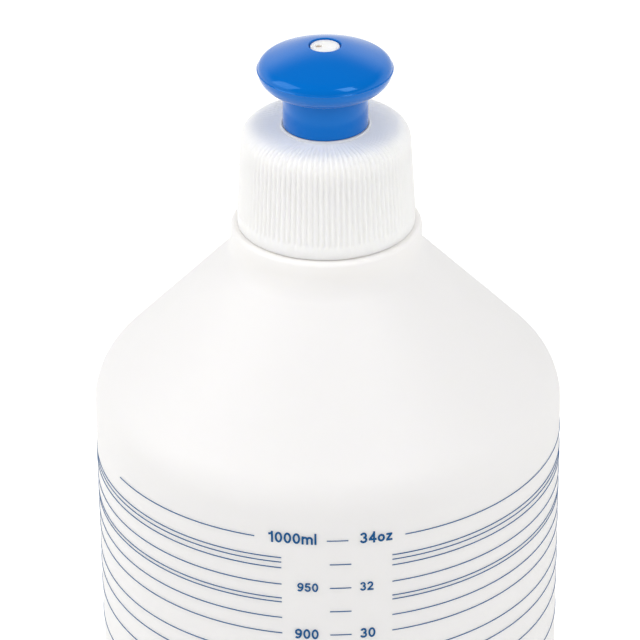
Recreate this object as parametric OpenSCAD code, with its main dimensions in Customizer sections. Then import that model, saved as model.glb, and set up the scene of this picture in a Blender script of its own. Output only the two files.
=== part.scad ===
// A one litre squeeze bottle for diluting concentrates, with a ribbed screw closure
// and a push-pull spout. It stands on Z = 0 with its axis on Z, and the column of
// numbers on its printed scale faces -Y. All lengths are in millimetres.

/* [Bottle] */
// Outer diameter of the body
body_d = 84; // [76:1:100]
// Height of the straight wall, where the shoulder starts
body_h = 201.8; // [190:0.1:230]
// Thickness of the blown wall
wall = 1.4; // [0.9:0.1:2]
// Outer radius of the heel round the base
heel_r = 6; // [4:0.5:9]
// Width of the flat ring that the bottle stands on
stand_w = 3.5; // [2:0.5:6]
// Width of the slope between the standing ring and the flat of the push-up
push_slope_w = 11; // [6:1:15]
// Height of the push-up in the middle of the base
push_h = 4; // [1:0.5:8]
// Outer radius between the body and the shoulder
shoulder_r = 9.1; // [5:0.1:14]
// Slope of the shoulder, in degrees from the horizontal
shoulder_slope = 46.5; // [38:0.5:54]

/* [Neck] */
// Outer diameter of the ring below the closure
ring_d = 33.8; // [32:0.1:37]
// Height of the ring above the shoulder, fillet included
ring_h = 5.2; // [4:0.1:8]
// Radius of the fillet between the shoulder and the ring
ring_fillet_r = 6; // [3:0.5:8]
// Radius of the ring's upper edge
ring_edge_r = 0.7; // [0.3:0.1:1.5]
// Outer diameter of the neck at the root of its thread
neck_d = 25.1; // [23.5:0.1:25.5]
// Thickness of the neck's wall at the root of its thread
neck_wall = 1.6; // [1.2:0.1:3]
// Height of the neck above its ring
neck_h = 16.3; // [14:0.1:20]
// Radius of the edges of the mouth
lip_r = 0.5; // [0.2:0.1:0.7]

/* [Closure] */
// Room all round between the neck and the skirt, which the threads fill
thread_room = 1.3; // [1.2:0.05:1.5]
// Thickness of the skirt where it meets its upper corner, ribs included
skirt_wall = 1.1; // [1:0.05:1.6]
// Distance that the skirt's lower end stands out past its upper end
skirt_flare = 0.75; // [0.2:0.05:1]
// Radius of the corner between the skirt and the top
corner_r = 2.8; // [1.5:0.1:4]
// Thickness of the top of the closure
top_t = 1.5; // [1.2:0.1:2.5]
// Gap between the closure and the neck's ring
skirt_gap = 0.5; // [0.3:0.1:1.5]
// Height of the smooth band below the ribs
band_h = 2; // [1:0.1:4]
// Number of ribs
rib_n = 96; // [60:1:110]
// Height of a rib
rib_h = 0.3; // [0.1:0.05:0.4]
// Width of the smooth ring round the foot of the spout
collar_w = 0.6; // [0.3:0.1:1.2]

/* [Sealing washer] */
// Thickness of the washer between the mouth and the closure
washer_t = 1; // [0.6:0.1:2]
// Diameter of the hole in the washer
washer_bore_d = 20; // [16:0.5:21]
// Distance that the washer reaches out past the neck
washer_reach = 0.35; // [0.2:0.05:0.6]
// Gap between the washer and the pocket that holds it
washer_gap = 0.3; // [0.2:0.05:0.5]

/* [Post] */
// Outer diameter of the post that the spout slides on
post_d = 11; // [10:0.1:11.6]
// Diameter of the liquid's way up through the post
post_bore_d = 8; // [7.4:0.1:8.6]
// Height of the post above the closure's top, without its plug
post_h = 8.6; // [8:0.1:9]
// Thickness of the post's end
post_end_t = 1.6; // [1:0.1:2]
// Height that the bead round the post's end stands out
bead_h = 0.4; // [0.2:0.05:0.5]
// Length of the bead along the post
bead_l = 1.3; // [1:0.1:1.5]
// Diameter of the plug that closes the spout's hole
plug_d = 5.1; // [4.4:0.1:5.4]
// Number of openings in the post's end
window_n = 4; // [2:1:5]
// Width of each opening in the post's end, in degrees
window_angle = 60; // [40:1:65]

/* [Spout] */
// Outer diameter of the spout's stem
stem_d = 15; // [14.6:0.1:17]
// Diameter of the rim of the spout's head
head_d = 23.5; // [21:0.1:28]
// Height of the underside of the head above the closure
stem_h = 7.1; // [5:0.1:8]
// Height of the head's rim above the closure
rim_h = 10.7; // [10:0.1:12]
// Width of the rounded edge above the rim
brow_w = 2.6; // [2:0.1:3.5]
// Height of the rounded edge above the rim
brow_h = 2; // [1.5:0.1:3]
// Slope of the top of the head, in degrees
crown_slope = 20; // [12:1:24]
// Radius of the edge of the recess round the plug
spout_lip = 0.1; // [0.05:0.05:0.3]
// Width of the recess round the plug in the spout's end
recess_w = 0.25; // [0.15:0.05:0.4]
// Depth of the recess round the plug
recess_h = 0.7; // [0.3:0.1:1.5]
// Thickness of the spout's end
spout_end_t = 2.8; // [2:0.1:4]
// Height of the foot that grips the post below the bead
grip_h = 1.9; // [1.5:0.1:2.2]
// Gap between the spout's foot and the closure's top
foot_gap = 0.3; // [0.2:0.1:0.6]
// Gap all round between the spout and what it slides on
slide_gap = 0.05; // [0.03:0.01:0.1]
// Distance of the plug's face below the spout's end
plug_drop = 0.15; // [0:0.05:0.5]

/* [Print] */
// Width of a printed line
line_w = 0.15; // [0.1:0.05:0.6]
// Thickness of the ink
ink_t = 0.08; // [0.05:0.01:0.15]
// Least height of bare wall between the top line and the shoulder
scale_room = 4; // [2:0.5:20]
// Where the long lines stop on the left of the numbers, in degrees from the front
line_left = -11.5; // [-20:0.5:-10]
// Where the long lines stop on the right of the numbers, in degrees from the front
line_right = 15; // [14:0.5:22]
// Where the top line stops on the left of its number, in degrees from the front
top_left = -18; // [-25:0.5:-16]
// Where the top line stops on the right of its number, in degrees from the front
top_right = 18.2; // [16:0.1:25]
// Where the bare place in the top line starts on the left, in degrees from the front
bare_start = -61.5; // [-75:0.5:-40]
// Where the bare place in the top line ends, in degrees from the front
bare_end = -108; // [-120:1:-90]
// Where the short strokes beside the numbers start, in degrees from the front
stroke_start = 0; // [-2:0.1:2]
// Where the short strokes beside the numbers stop, in degrees from the front
stroke_end = 5.1; // [4:0.1:6]
// Volume between two strokes, in millilitres
stroke_step = 25; // [20:5:50]

/* [Hidden] */
$fn = 96;

// Depth that a join reaches into its neighbour
sink = 0.4;
// Distance that a cut runs past a face
past = 1;
// Space left below the ink, which keeps it clear of the curved wall
ink_lift = 0.02;

body_r = body_d / 2;
inner_r = body_r - wall;
ring_r = ring_d / 2;
neck_r = neck_d / 2;
mouth_r = neck_r - neck_wall;
stand_r = body_r - heel_r;
stand_in_r = stand_r - stand_w;
push_r = stand_in_r - push_slope_w;
shoulder_end = body_r - shoulder_r + shoulder_r * sin(shoulder_slope);
shoulder_end_z = body_h + shoulder_r * cos(shoulder_slope);

// Height of the shoulder's slope at a radius, for the surface that lies inset below the outside
function slope_z(r, inset = 0) =
    shoulder_end_z + (shoulder_end - r) * tan(shoulder_slope) - inset / cos(shoulder_slope);

ring_z = slope_z(ring_r) + ring_h;
neck_z = ring_z + neck_h;
fillet_reach = ring_fillet_r * tan((90 - shoulder_slope) / 2);

closure_z = ring_z + skirt_gap;
plate_z = neck_z + washer_t;
top_z = plate_z + top_t;
skirt_bore_r = neck_r + thread_room;
skirt_top_r = skirt_bore_r + skirt_wall;
skirt_r = skirt_top_r + skirt_flare;
washer_r = neck_r + washer_reach;
pocket_r = washer_r + washer_gap;
pocket_h = 2.4;
rib_fade = 0.4;
collar_r = stem_d / 2 + collar_w;

post_r = post_d / 2;
post_z = top_z + post_h;
plug_r = plug_d / 2;
bead_r = post_r + bead_h;

foot_z = top_z + foot_gap;
head_r = head_d / 2;
spout_bore_r = plug_r + slide_gap;
recess_r = spout_bore_r + recess_w;
mouth_edge_r = recess_r + spout_lip;

// Where the rounded edge above the rim meets the sloping top of the head
brow_end = atan(brow_h / brow_w / tan(crown_slope));
brow_end_r = head_r - brow_w + brow_w * cos(brow_end);
crown_z = top_z + rim_h + brow_h * sin(brow_end) + (brow_end_r - mouth_edge_r) * tan(crown_slope);

// Volumes in cubic millimetres that the inner heel and the push-up take from a plain cylinder
inner_heel_r = heel_r - wall;
corner_centroid = (10 - 3 * PI) / (12 - 3 * PI);
heel_volume = 2 * PI * (inner_r - corner_centroid * inner_heel_r) * (1 - PI / 4) * pow(inner_heel_r, 2);
push_volume = PI * push_h / 3 * (pow(stand_in_r, 2) + stand_in_r * push_r + pow(push_r, 2));

// Height at which the bottle holds a volume given in millilitres
function fill_z(ml) = wall + (ml * 1000 + heel_volume + push_volume) / (PI * pow(inner_r, 2));

// The top line is at the highest whole step of volume that leaves the bare wall above it
full_step = 50;
wall_ml = (PI * pow(inner_r, 2) * (body_h - scale_room - wall) - heel_volume - push_volume) / 1000;
full_ml = floor(wall_ml / full_step) * full_step;
lowest_ml = 100;
// Parts of water to one part of concentrate, for each long line below the top one
ratios = [50, 40, 32, 20, 15, 14, 11, 9, 7, 6, 5, 4, 3, 2, 1];
line_levels = [for (r = ratios) full_ml - full_ml / (r + 1)];

// Points along an arc about a centre, between two angles
function arc(centre, r, from, to, steps = 10) =
    [for (i = [0 : steps]) let (a = from + (to - from) * i / steps) centre + r * [cos(a), sin(a)]];

// The same for an ellipse, whose angles are those of its own formula
function oval(centre, r, from, to, steps = 12) =
    [for (i = [0 : steps]) let (a = from + (to - from) * i / steps)
        centre + [r[0] * cos(a), r[1] * sin(a)]];

function bottle_outside() = concat(
    [[0, push_h], [push_r, push_h], [stand_in_r, 0]],
    arc([stand_r, heel_r], heel_r, -90, 0),
    arc([body_r - shoulder_r, body_h], shoulder_r, 0, 90 - shoulder_slope),
    arc([ring_r + ring_fillet_r, slope_z(ring_r) + fillet_reach], ring_fillet_r,
        270 - shoulder_slope, 180, 8),
    arc([ring_r - ring_edge_r, ring_z - ring_edge_r], ring_edge_r, 0, 90, 6),
    [[neck_r, ring_z]],
    arc([neck_r - lip_r, neck_z - lip_r], lip_r, 0, 90, 5));

function bottle_inside() = concat(
    arc([mouth_r + lip_r, neck_z - lip_r], lip_r, 90, 180, 5),
    [[mouth_r, slope_z(mouth_r, wall)]],
    arc([body_r - shoulder_r, body_h], shoulder_r - wall, 90 - shoulder_slope, 0),
    arc([stand_r, heel_r], inner_heel_r, 0, -90),
    [[stand_in_r, wall], [push_r, push_h + wall], [0, push_h + wall]]);

module bottle() {
    color([0.93, 0.94, 0.94, 0.8])
    rotate_extrude()
    polygon(concat(bottle_outside(), bottle_inside()));
}

// The two outlines that the ribbed outside runs between, along the top of a rib and along the
// bottom of the groove beside it. They meet at the smooth band and at the collar.
function closure_line(depth) = concat(
    [[skirt_r, closure_z], [skirt_r, closure_z + band_h]],
    [[skirt_r - depth, closure_z + band_h + rib_fade]],
    arc([skirt_top_r - corner_r, top_z - corner_r], corner_r - depth, 0, 90, 4),
    [[collar_r, top_z]]);

// The solid inside the closure's ribbed outside, with a rib and a groove at every pitch
module ribbed_block() {
    crest = closure_line(0);
    groove = closure_line(rib_h);
    rings = len(crest);
    n = 2 * rib_n;
    points = [for (k = [0 : rings - 1]) for (i = [0 : n - 1])
        let (at = i % 2 == 0 ? crest[k] : groove[k], a = 360 * i / n)
        [at[0] * cos(a), at[0] * sin(a), at[1]]];
    sides = [for (k = [0 : rings - 2]) for (i = [0 : n - 1])
        let (j = (i + 1) % n, low = k * n, up = low + n)
        each [[low + i, up + i, up + j], [low + i, up + j, low + j]]];
    ends = [[for (i = [0 : n - 1]) i], [for (i = [n - 1 : -1 : 0]) (rings - 1) * n + i]];
    polyhedron(points = points, faces = concat(sides, ends));
}

// The closure's inside: the skirt's hole, the washer's pocket above it and the way into the post
module closure_hollow() {
    pocket_z = plate_z - pocket_h;
    mouth_z = pocket_z - (skirt_bore_r - pocket_r);
    rotate_extrude()
    polygon([
        [0, closure_z - past], [skirt_bore_r, closure_z - past], [skirt_bore_r, mouth_z],
        [pocket_r, pocket_z], [pocket_r, plate_z], [post_bore_d / 2, plate_z],
        [post_bore_d / 2, top_z + past], [0, top_z + past]]);
}

// The hollow post with its bead, closed at its end apart from the windows round the plug
module post() {
    difference() {
        rotate_extrude()
        polygon([
            [post_bore_d / 2, top_z - top_t / 2], [post_r, top_z - top_t / 2],
            [post_r, post_z - bead_l - bead_h], [bead_r, post_z - bead_l],
            [bead_r, post_z - bead_h], [post_r, post_z], [0, post_z],
            [0, post_z - post_end_t], [post_bore_d / 2, post_z - post_end_t]]);
        for (i = [0 : window_n - 1])
            rotate([0, 0, (i + 0.5) * 360 / window_n - window_angle / 2])
            rotate_extrude(angle = window_angle)
            translate([plug_r - sink, post_z - post_end_t - past])
            square([post_bore_d / 2 - plug_r + sink, post_end_t + 2 * past]);
    }
    translate([0, 0, post_z - post_end_t / 2])
    cylinder(r = plug_r, h = crown_z - plug_drop - post_z + post_end_t / 2);
}

module screw_closure() {
    color([0.97, 0.97, 0.96])
    union() {
        difference() {
            ribbed_block();
            closure_hollow();
        }
        post();
    }
}

module sealing_washer() {
    color([0.9, 0.9, 0.88])
    translate([0, 0, neck_z])
    difference() {
        cylinder(r = washer_r, h = washer_t);
        translate([0, 0, -past])
        cylinder(d = washer_bore_d, h = washer_t + 2 * past);
    }
}

module push_pull_spout() {
    stem_r = stem_d / 2;
    grip_r = post_r + slide_gap;
    room_r = bead_r + slide_gap;
    color([0.05, 0.42, 0.78])
    rotate_extrude()
    polygon(concat(
        [[grip_r, foot_z], [stem_r, foot_z]],
        oval([stem_r, top_z + rim_h], [head_r - stem_r, rim_h - stem_h], -90, 0),
        oval([head_r - brow_w, top_z + rim_h], [brow_w, brow_h], 0, brow_end),
        arc([mouth_edge_r, crown_z - spout_lip], spout_lip, 90, 180, 5),
        [[recess_r, crown_z - recess_h], [spout_bore_r, crown_z - recess_h - recess_w]],
        [[spout_bore_r, crown_z - spout_end_t]],
        [[room_r, post_z + foot_gap]],
        [[room_r, foot_z + grip_h], [grip_r, foot_z + grip_h - bead_h]]));
}

// One line of ink round the wall, between two angles from the front
module ink_line(level_ml, from, to) {
    rotate([0, 0, from - 90])
    rotate_extrude(angle = to - from)
    translate([body_r + ink_lift, fill_z(level_ml) - line_w / 2])
    square([ink_t, line_w]);
}

module printed_scale() {
    color([0.1, 0.37, 0.62]) {
        ink_line(full_ml, bare_start, top_left);
        ink_line(full_ml, top_right, 360 + bare_end);
        for (ml = line_levels)
            ink_line(ml, line_right, 360 + line_left);
        for (ml = [full_ml : -stroke_step : lowest_ml])
            ink_line(ml, stroke_start, stroke_end);
    }
}

bottle();
screw_closure();
sealing_washer();
push_pull_spout();
printed_scale();
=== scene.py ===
"""The looks of a dilution bottle: milky bottle, ribbed screw closure, push-pull spout and printed scale."""

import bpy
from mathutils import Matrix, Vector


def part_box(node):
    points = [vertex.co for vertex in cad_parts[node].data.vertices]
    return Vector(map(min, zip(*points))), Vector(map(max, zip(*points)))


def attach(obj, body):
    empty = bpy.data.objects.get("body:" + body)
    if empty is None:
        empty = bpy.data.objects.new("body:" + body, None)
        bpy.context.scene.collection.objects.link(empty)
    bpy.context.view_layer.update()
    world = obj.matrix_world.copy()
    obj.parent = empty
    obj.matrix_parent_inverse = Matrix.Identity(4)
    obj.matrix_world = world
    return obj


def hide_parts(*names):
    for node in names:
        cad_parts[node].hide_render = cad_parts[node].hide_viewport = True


bl_info = {
    "name": "Dilution bottle",
    "version": (1, 0, 0),
    "blender": (4, 5, 0),
    "location": "3D View > Sidebar > Bottle",
    "description": "Builds the visual model of a one litre dilution bottle round its CAD frame",
    "category": "Object",
}

import math

import bmesh
import bpy
import numpy as np
from mathutils import Matrix, Vector

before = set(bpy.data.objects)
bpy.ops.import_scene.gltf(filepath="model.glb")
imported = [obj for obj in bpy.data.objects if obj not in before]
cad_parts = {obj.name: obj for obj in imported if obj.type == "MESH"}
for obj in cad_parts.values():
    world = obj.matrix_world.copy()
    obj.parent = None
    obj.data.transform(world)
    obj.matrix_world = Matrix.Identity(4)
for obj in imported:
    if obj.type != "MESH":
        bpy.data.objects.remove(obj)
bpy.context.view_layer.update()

MM = 0.001
ON_AXIS = 1e-7
SHARP = math.radians(38)
OUNCE_ML = 29.5735
QUARTER = math.pi / 2
# Share of a thread's length in which each of its ends runs out into the wall
RUN_OUT = 0.06
# Where the centroid of what a rounded corner cuts off a square one lies, as a share of its radius
CUT_OFF_CENTRE = 0.2234

BOTTLE_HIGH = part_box("bottle")[1]
CLOSURE_LOW, CLOSURE_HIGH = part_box("screw_closure")
WASHER_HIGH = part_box("sealing_washer")[1]
SPOUT_LOW, SPOUT_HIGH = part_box("push_pull_spout")


# Sizes and colours


def length(name, description, millimetres):
    return bpy.props.FloatProperty(
        name=name, description=description, default=millimetres * MM, min=0.0, precision=5, unit="LENGTH"
    )


def angle(name, description, degrees):
    return bpy.props.FloatProperty(
        name=name, description=description, default=math.radians(degrees), subtype="ANGLE"
    )


def count(name, description, number):
    return bpy.props.IntProperty(name=name, description=description, default=number, min=1)


def power(name, description, watts):
    return bpy.props.FloatProperty(name=name, description=description, default=watts, min=0.0, unit="POWER")


def linear(level):
    """The linear value of a screen level from 0 to 255."""
    level /= 255
    return level / 12.92 if level <= 0.04045 else ((level + 0.055) / 1.055) ** 2.4


def colour(name, description, red, green, blue):
    return bpy.props.FloatVectorProperty(
        name=name,
        description=description,
        default=(linear(red), linear(green), linear(blue), 1.0),
        size=4,
        min=0.0,
        max=1.0,
        subtype="COLOR",
    )


class BottleSizes(bpy.types.PropertyGroup):
    body_d: length("Body diameter", "Outer diameter of the straight wall", 84)
    body_h: length("Body height", "Height at which the shoulder starts", 201.8)
    wall: length("Wall", "Thickness of the blown wall", 1.4)
    heel_r: length("Heel radius", "Outer radius of the heel", 6)
    stand_w: length("Standing ring", "Width of the ring that the bottle stands on", 3.5)
    push_slope_w: length("Push-up slope", "Width of the slope inside the standing ring", 11)
    push_h: length("Push-up height", "Height of the push-up in the base", 4)
    shoulder_r: length("Shoulder radius", "Outer radius between the wall and the shoulder", 9.1)
    shoulder_slope: angle("Shoulder slope", "Slope of the shoulder from the horizontal", 46.5)
    ring_d: length("Ring diameter", "Diameter of the ring below the closure", 33.8)
    ring_h: length("Ring height", "Height of the ring above the shoulder", 5.2)
    ring_fillet_r: length("Ring fillet", "Radius between the shoulder and the ring", 6)
    ring_edge_r: length("Ring edge", "Radius of the ring's upper edge", 0.7)
    neck_d: length("Neck diameter", "Diameter of the neck at the root of its thread", 25.1)
    neck_wall: length("Neck wall", "Thickness of the neck's wall at the root of its thread", 1.6)
    lip_r: length("Lip radius", "Radius of the edges of the mouth", 0.5)
    seam_h: length("Seam height", "Height of the mould's seam", 0.05)
    seam_w: length("Seam width", "Half width of the mould's seam", 0.22)
    thread_pitch: length("Thread pitch", "Rise of the thread in one turn", 4.23)
    thread_turns: bpy.props.FloatProperty(
        name="Thread turns",
        description="Turns that the closure needs to come off",
        default=1.5,
        min=0.5,
        max=3,
    )
    thread_start: length("Thread start", "Distance of the thread's upper end below the mouth", 1.7)
    thread_bead: length("Thread bead", "Radius of the neck's thread", 0.95)


class ClosureSizes(bpy.types.PropertyGroup):
    thread_room: length("Thread room", "Room all round between the neck and the skirt", 1.3)
    skirt_wall: length("Skirt wall", "Thickness of the skirt below its upper corner, ribs included", 1.1)
    skirt_flare: length("Skirt flare", "Distance that the lower end stands out past the upper end", 0.75)
    corner_r: length("Corner radius", "Radius between the skirt and the top", 2.8)
    top_t: length("Top thickness", "Thickness of the closure's top", 1.5)
    pocket_h: length("Pocket height", "Height of the washer's pocket", 2.4)
    pocket_gap: length("Pocket gap", "Gap round the washer", 0.3)
    band_h: length("Band height", "Height of the smooth band below the ribs", 2)
    rib_n: count("Ribs", "Number of ribs", 96)
    rib_h: length("Rib height", "Height of a rib", 0.3)
    rib_fade: length("Rib fade", "Length in which a rib rises from the band", 0.4)
    collar_w: length("Collar width", "Width of the smooth ring round the spout's foot", 0.6)
    collar_lip_w: length("Collar lip width", "Width of the lip round the spout's foot", 0.4)
    collar_lip_h: length("Collar lip height", "Height of the lip round the spout's foot", 0.4)
    collar_gap: length("Collar gap", "Gap between the lip and the spout's foot", 0.03)
    post_d: length("Post diameter", "Diameter of the post that the spout slides on", 11)
    post_bore_d: length("Post bore", "Diameter of the way up through the post", 8)
    post_h: length("Post height", "Height of the post above the closure's top", 8.6)
    post_end_t: length("Post end", "Thickness of the post's end", 1.6)
    bead_h: length("Bead height", "Height that the post's bead stands out", 0.4)
    bead_l: length("Bead length", "Length of the bead along the post", 1.3)
    plug_d: length("Plug diameter", "Diameter of the plug in the spout's hole", 5.1)
    plug_edge_r: length("Plug edge", "Radius of the plug's edge", 0.2)
    hem_r: length("Hem radius", "Radius of the skirt's lower edge", 0.2)
    hem_drop: length("Hem drop", "Distance that the skirt's lower edge hangs below the solid's", 0.35)
    gate_r: length("Gate mark radius", "Radius of the gate mark in the plug", 0.62)
    gate_h: length("Gate mark depth", "Depth of the gate mark in the plug", 0.45)
    gate_off: length("Gate mark offset", "Distance of the gate mark from the axis", 1.1)
    window_n: count("Windows", "Number of openings round the plug", 4)
    window_angle: angle("Window width", "Width of each opening round the plug", 60)
    thread_bead: length("Thread bead", "Radius of the closure's thread", 0.8)


class SpoutSizes(bpy.types.PropertyGroup):
    stem_d: length("Stem diameter", "Outer diameter of the stem", 15)
    foot_edge_r: length("Foot edge", "Radius of the stem's lower edge", 0.12)
    head_d: length("Head diameter", "Diameter of the head's rim", 23.5)
    stem_h: length("Stem height", "Height of the head's underside above the closure", 7.1)
    rim_h: length("Rim height", "Height of the head's rim above the closure", 10.7)
    brow_w: length("Brow width", "Width of the rounded edge above the rim", 2.6)
    brow_h: length("Brow height", "Height of the rounded edge above the rim", 2)
    crown_slope: angle("Crown slope", "Slope of the top of the head", 20)
    lip: length("Spout lip", "Radius of the edge of the recess round the plug", 0.1)
    recess_w: length("Recess width", "Width of the recess round the plug", 0.25)
    recess_h: length("Recess depth", "Depth of the recess round the plug", 0.7)
    end_t: length("End thickness", "Thickness of the spout's end", 2.8)
    grip_h: length("Grip height", "Height of the foot that grips the post", 1.9)
    slide_gap: length("Slide gap", "Gap between the spout and what it slides on", 0.05)
    flash_h: length("Flash height", "Height of the parting line round the rim", 0.14)
    flash_w: length("Flash width", "Width of the parting line round the rim", 0.2)


class ScaleSizes(bpy.types.PropertyGroup):
    full_ml: count("Full volume", "Volume at the top line, in millilitres", 1000)
    lowest_ml: count("Lowest volume", "Volume at the lowest stroke, in millilitres", 100)
    stroke_ml: count("Stroke step", "Volume between two strokes, in millilitres", 25)
    number_ml: count("Number step", "Volume between two numbers, in millilitres", 50)
    line_w: length("Line width", "Width of a printed line", 0.15)
    ink_t: length("Ink thickness", "Height of the ink over the wall", 0.1)
    line_left: angle("Left stop", "Where the long lines stop on the left of the numbers", -11.5)
    line_right: angle("Right stop", "Where the long lines stop on the right of the numbers", 15)
    top_left: angle("Top left stop", "Where the top line stops on the left of its number", -18)
    top_right: angle("Top right stop", "Where the top line stops on the right of its number", 18.2)
    bare_start: angle("Bare place", "Where the bare place in the top line starts", -61.5)
    bare_end: angle("Bare place's end", "Where the bare place in the top line ends", -108)
    stroke_start: angle("Stroke start", "Where the short strokes start", 0)
    stroke_end: angle("Stroke end", "Where the short strokes stop", 5.1)
    top_shift: angle("Top stroke shift", "Distance of the top stroke from the others", -0.65)
    top_number_shift: angle("Top number shift", "Distance of the top number from the others", -0.3)
    top_h: length("Top number height", "Height of the numbers at the top line", 2.2)
    hundred_h: length("Hundreds height", "Height of the numbers at whole hundreds", 2.05)
    fifty_h: length("Fifties height", "Height of the other numbers", 1.8)
    top_lift: length("Top number lift", "Height of the top numbers' middle over their line", 0.35)
    number_lift: length("Number lift", "Height of the other numbers' middle over their line", 0.12)
    numbers_left: angle("Left numbers", "Where the numbers on the left end", -2.7)
    numbers_right: angle("Right numbers", "Where the numbers on the right start", 7.1)


class Colours(bpy.types.PropertyGroup):
    natural: colour("Natural polyethylene", "Colour of the bottle", 243, 241, 239)
    white: colour("White plastic", "Colour of the closure", 250, 248, 244)
    blue: colour("Blue plastic", "Colour of the spout", 0, 108, 200)
    ink: colour("Blue ink", "Colour of the print", 0, 84, 140)
    # The gate mark's brownish colour is painted shade, standing in for the shadow in the dimple round the
    # gate.
    gate: colour("Gate mark", "Colour of the gate mark in the plug", 186, 166, 146)
    foam: colour("Foam", "Colour of the washer", 232, 231, 226)
    speck: colour("Specks", "Colour of the specks in the plastic", 176, 168, 158)
    floor: colour("Floor", "Colour of the floor", 238, 238, 237)
    ambient: bpy.props.FloatProperty(
        name="Ambient light",
        description="Strength of the light from all round",
        default=0.74,
        min=0.0,
        max=2.0,
    )
    key_w: power("Key light", "Power of the lamp on the left", 7.6)
    fill_w: power("Fill light", "Power of the lamp on the right", 6.0)


# Meshes


def arc(r, z, radius, start, end, steps, flat=1.0):
    """Points along an arc about (r, z) between two angles in radians. flat scales its height."""
    turns = np.linspace(start, end, steps + 1)
    return [(r + radius * math.cos(a), z + flat * radius * math.sin(a)) for a in turns]


def circle(segments):
    return [2 * math.pi * i / segments for i in range(segments)]


def lathe(outline, turns, loop=False, swell=None):
    """Turns an outline, which has the solid on its left, about Z. A point on the axis becomes one pole.
    loop joins the last point to the first, and swell gives what a point's radius gains at an angle."""
    verts, faces, rings = [], [], []
    for k, (r, z) in enumerate(outline):
        ring_turns = [0.0] if r < ON_AXIS else turns
        rings.append(range(len(verts), len(verts) + len(ring_turns)))
        for a in ring_turns:
            at = r + (swell(k, a) if swell and r >= ON_AXIS else 0.0)
            verts.append((at * math.cos(a), at * math.sin(a), z))
    n = len(turns)
    for low, up in zip(rings, rings[1:] + (rings[:1] if loop else [])):
        if len(low) == len(up) == 1:
            continue
        for j in range(n):
            k = (j + 1) % n
            face = [low[j % len(low)], low[k % len(low)], up[k % len(up)], up[j % len(up)]]
            faces.append(list(dict.fromkeys(face)))
    return verts, faces


def sector(inner, outer, low, high, start, end, steps=6):
    """A closed block between two radii, two heights and two angles."""
    corners = (inner, low), (outer, low), (outer, high), (inner, high)
    verts, faces = [], []
    for a in np.linspace(start, end, steps + 1):
        verts += [(r * math.cos(a), r * math.sin(a), z) for r, z in corners]
    for i in range(steps):
        for k in range(4):
            m = (k + 1) % 4
            faces.append([4 * i + k, 4 * i + 4 + k, 4 * i + 4 + m, 4 * i + m])
    faces += [[0, 1, 2, 3], [4 * steps + k for k in (3, 2, 1, 0)]]
    return verts, faces


def joined(parts):
    """Several (vertices, faces) pairs as one."""
    verts, faces = [], []
    for v, f in parts:
        faces += [[i + len(verts) for i in face] for face in f]
        verts += v
    return verts, faces


def shape_of(mesh):
    """A mesh as a (vertices, faces) pair."""
    return [tuple(v.co) for v in mesh.vertices], [list(p.vertices) for p in mesh.polygons]


def cleaned(mesh):
    """Merges doubles, turns every face outwards and shades the mesh smooth up to its sharp edges."""
    bm = bmesh.new()
    bm.from_mesh(mesh)
    bmesh.ops.remove_doubles(bm, verts=bm.verts, dist=ON_AXIS)
    bmesh.ops.recalc_face_normals(bm, faces=bm.faces)
    bm.to_mesh(mesh)
    bm.free()
    mesh.shade_smooth()
    mesh.set_sharp_from_angle(angle=SHARP)
    return mesh


def new_mesh(name, shape):
    mesh = bpy.data.meshes.new(name)
    mesh.from_pydata(shape[0], [], shape[1])
    if mesh.validate():
        raise RuntimeError(f"the mesh {name} had broken faces")
    return mesh


def shown(name, mesh, material, body, slot, *nodes):
    """Puts a finished mesh on its body and hides the CAD nodes that it stands for. The slot is not used."""
    if not mesh.polygons:
        raise RuntimeError(f"the mesh of {name} is empty")
    mesh.materials.clear()
    mesh.materials.append(material)
    obj = bpy.data.objects.new(name, cleaned(mesh))
    bpy.context.scene.collection.objects.link(obj)
    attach(obj, body)
    if nodes:
        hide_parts(*nodes)
    return obj


# Numbers, as strokes in a box one unit high


def bend(x, z, wide, high, start, end, steps=14):
    """Points along an arc of an oval about (x, z), between two angles in degrees."""
    turns = np.radians(np.linspace(start, end, steps + 1))
    return [(x + wide * math.cos(a), z + high * math.sin(a)) for a in turns]


def oval(x, z, wide, high):
    """A closed oval, which ends where it starts."""
    return bend(x, z, wide, high, 90, 450, 26)


def arch(x):
    """One arch of the letter m."""
    return bend(x + 0.18, 0.42, 0.18, 0.2, 175, 0, 10) + [(x + 0.36, 0.0)]


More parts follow.
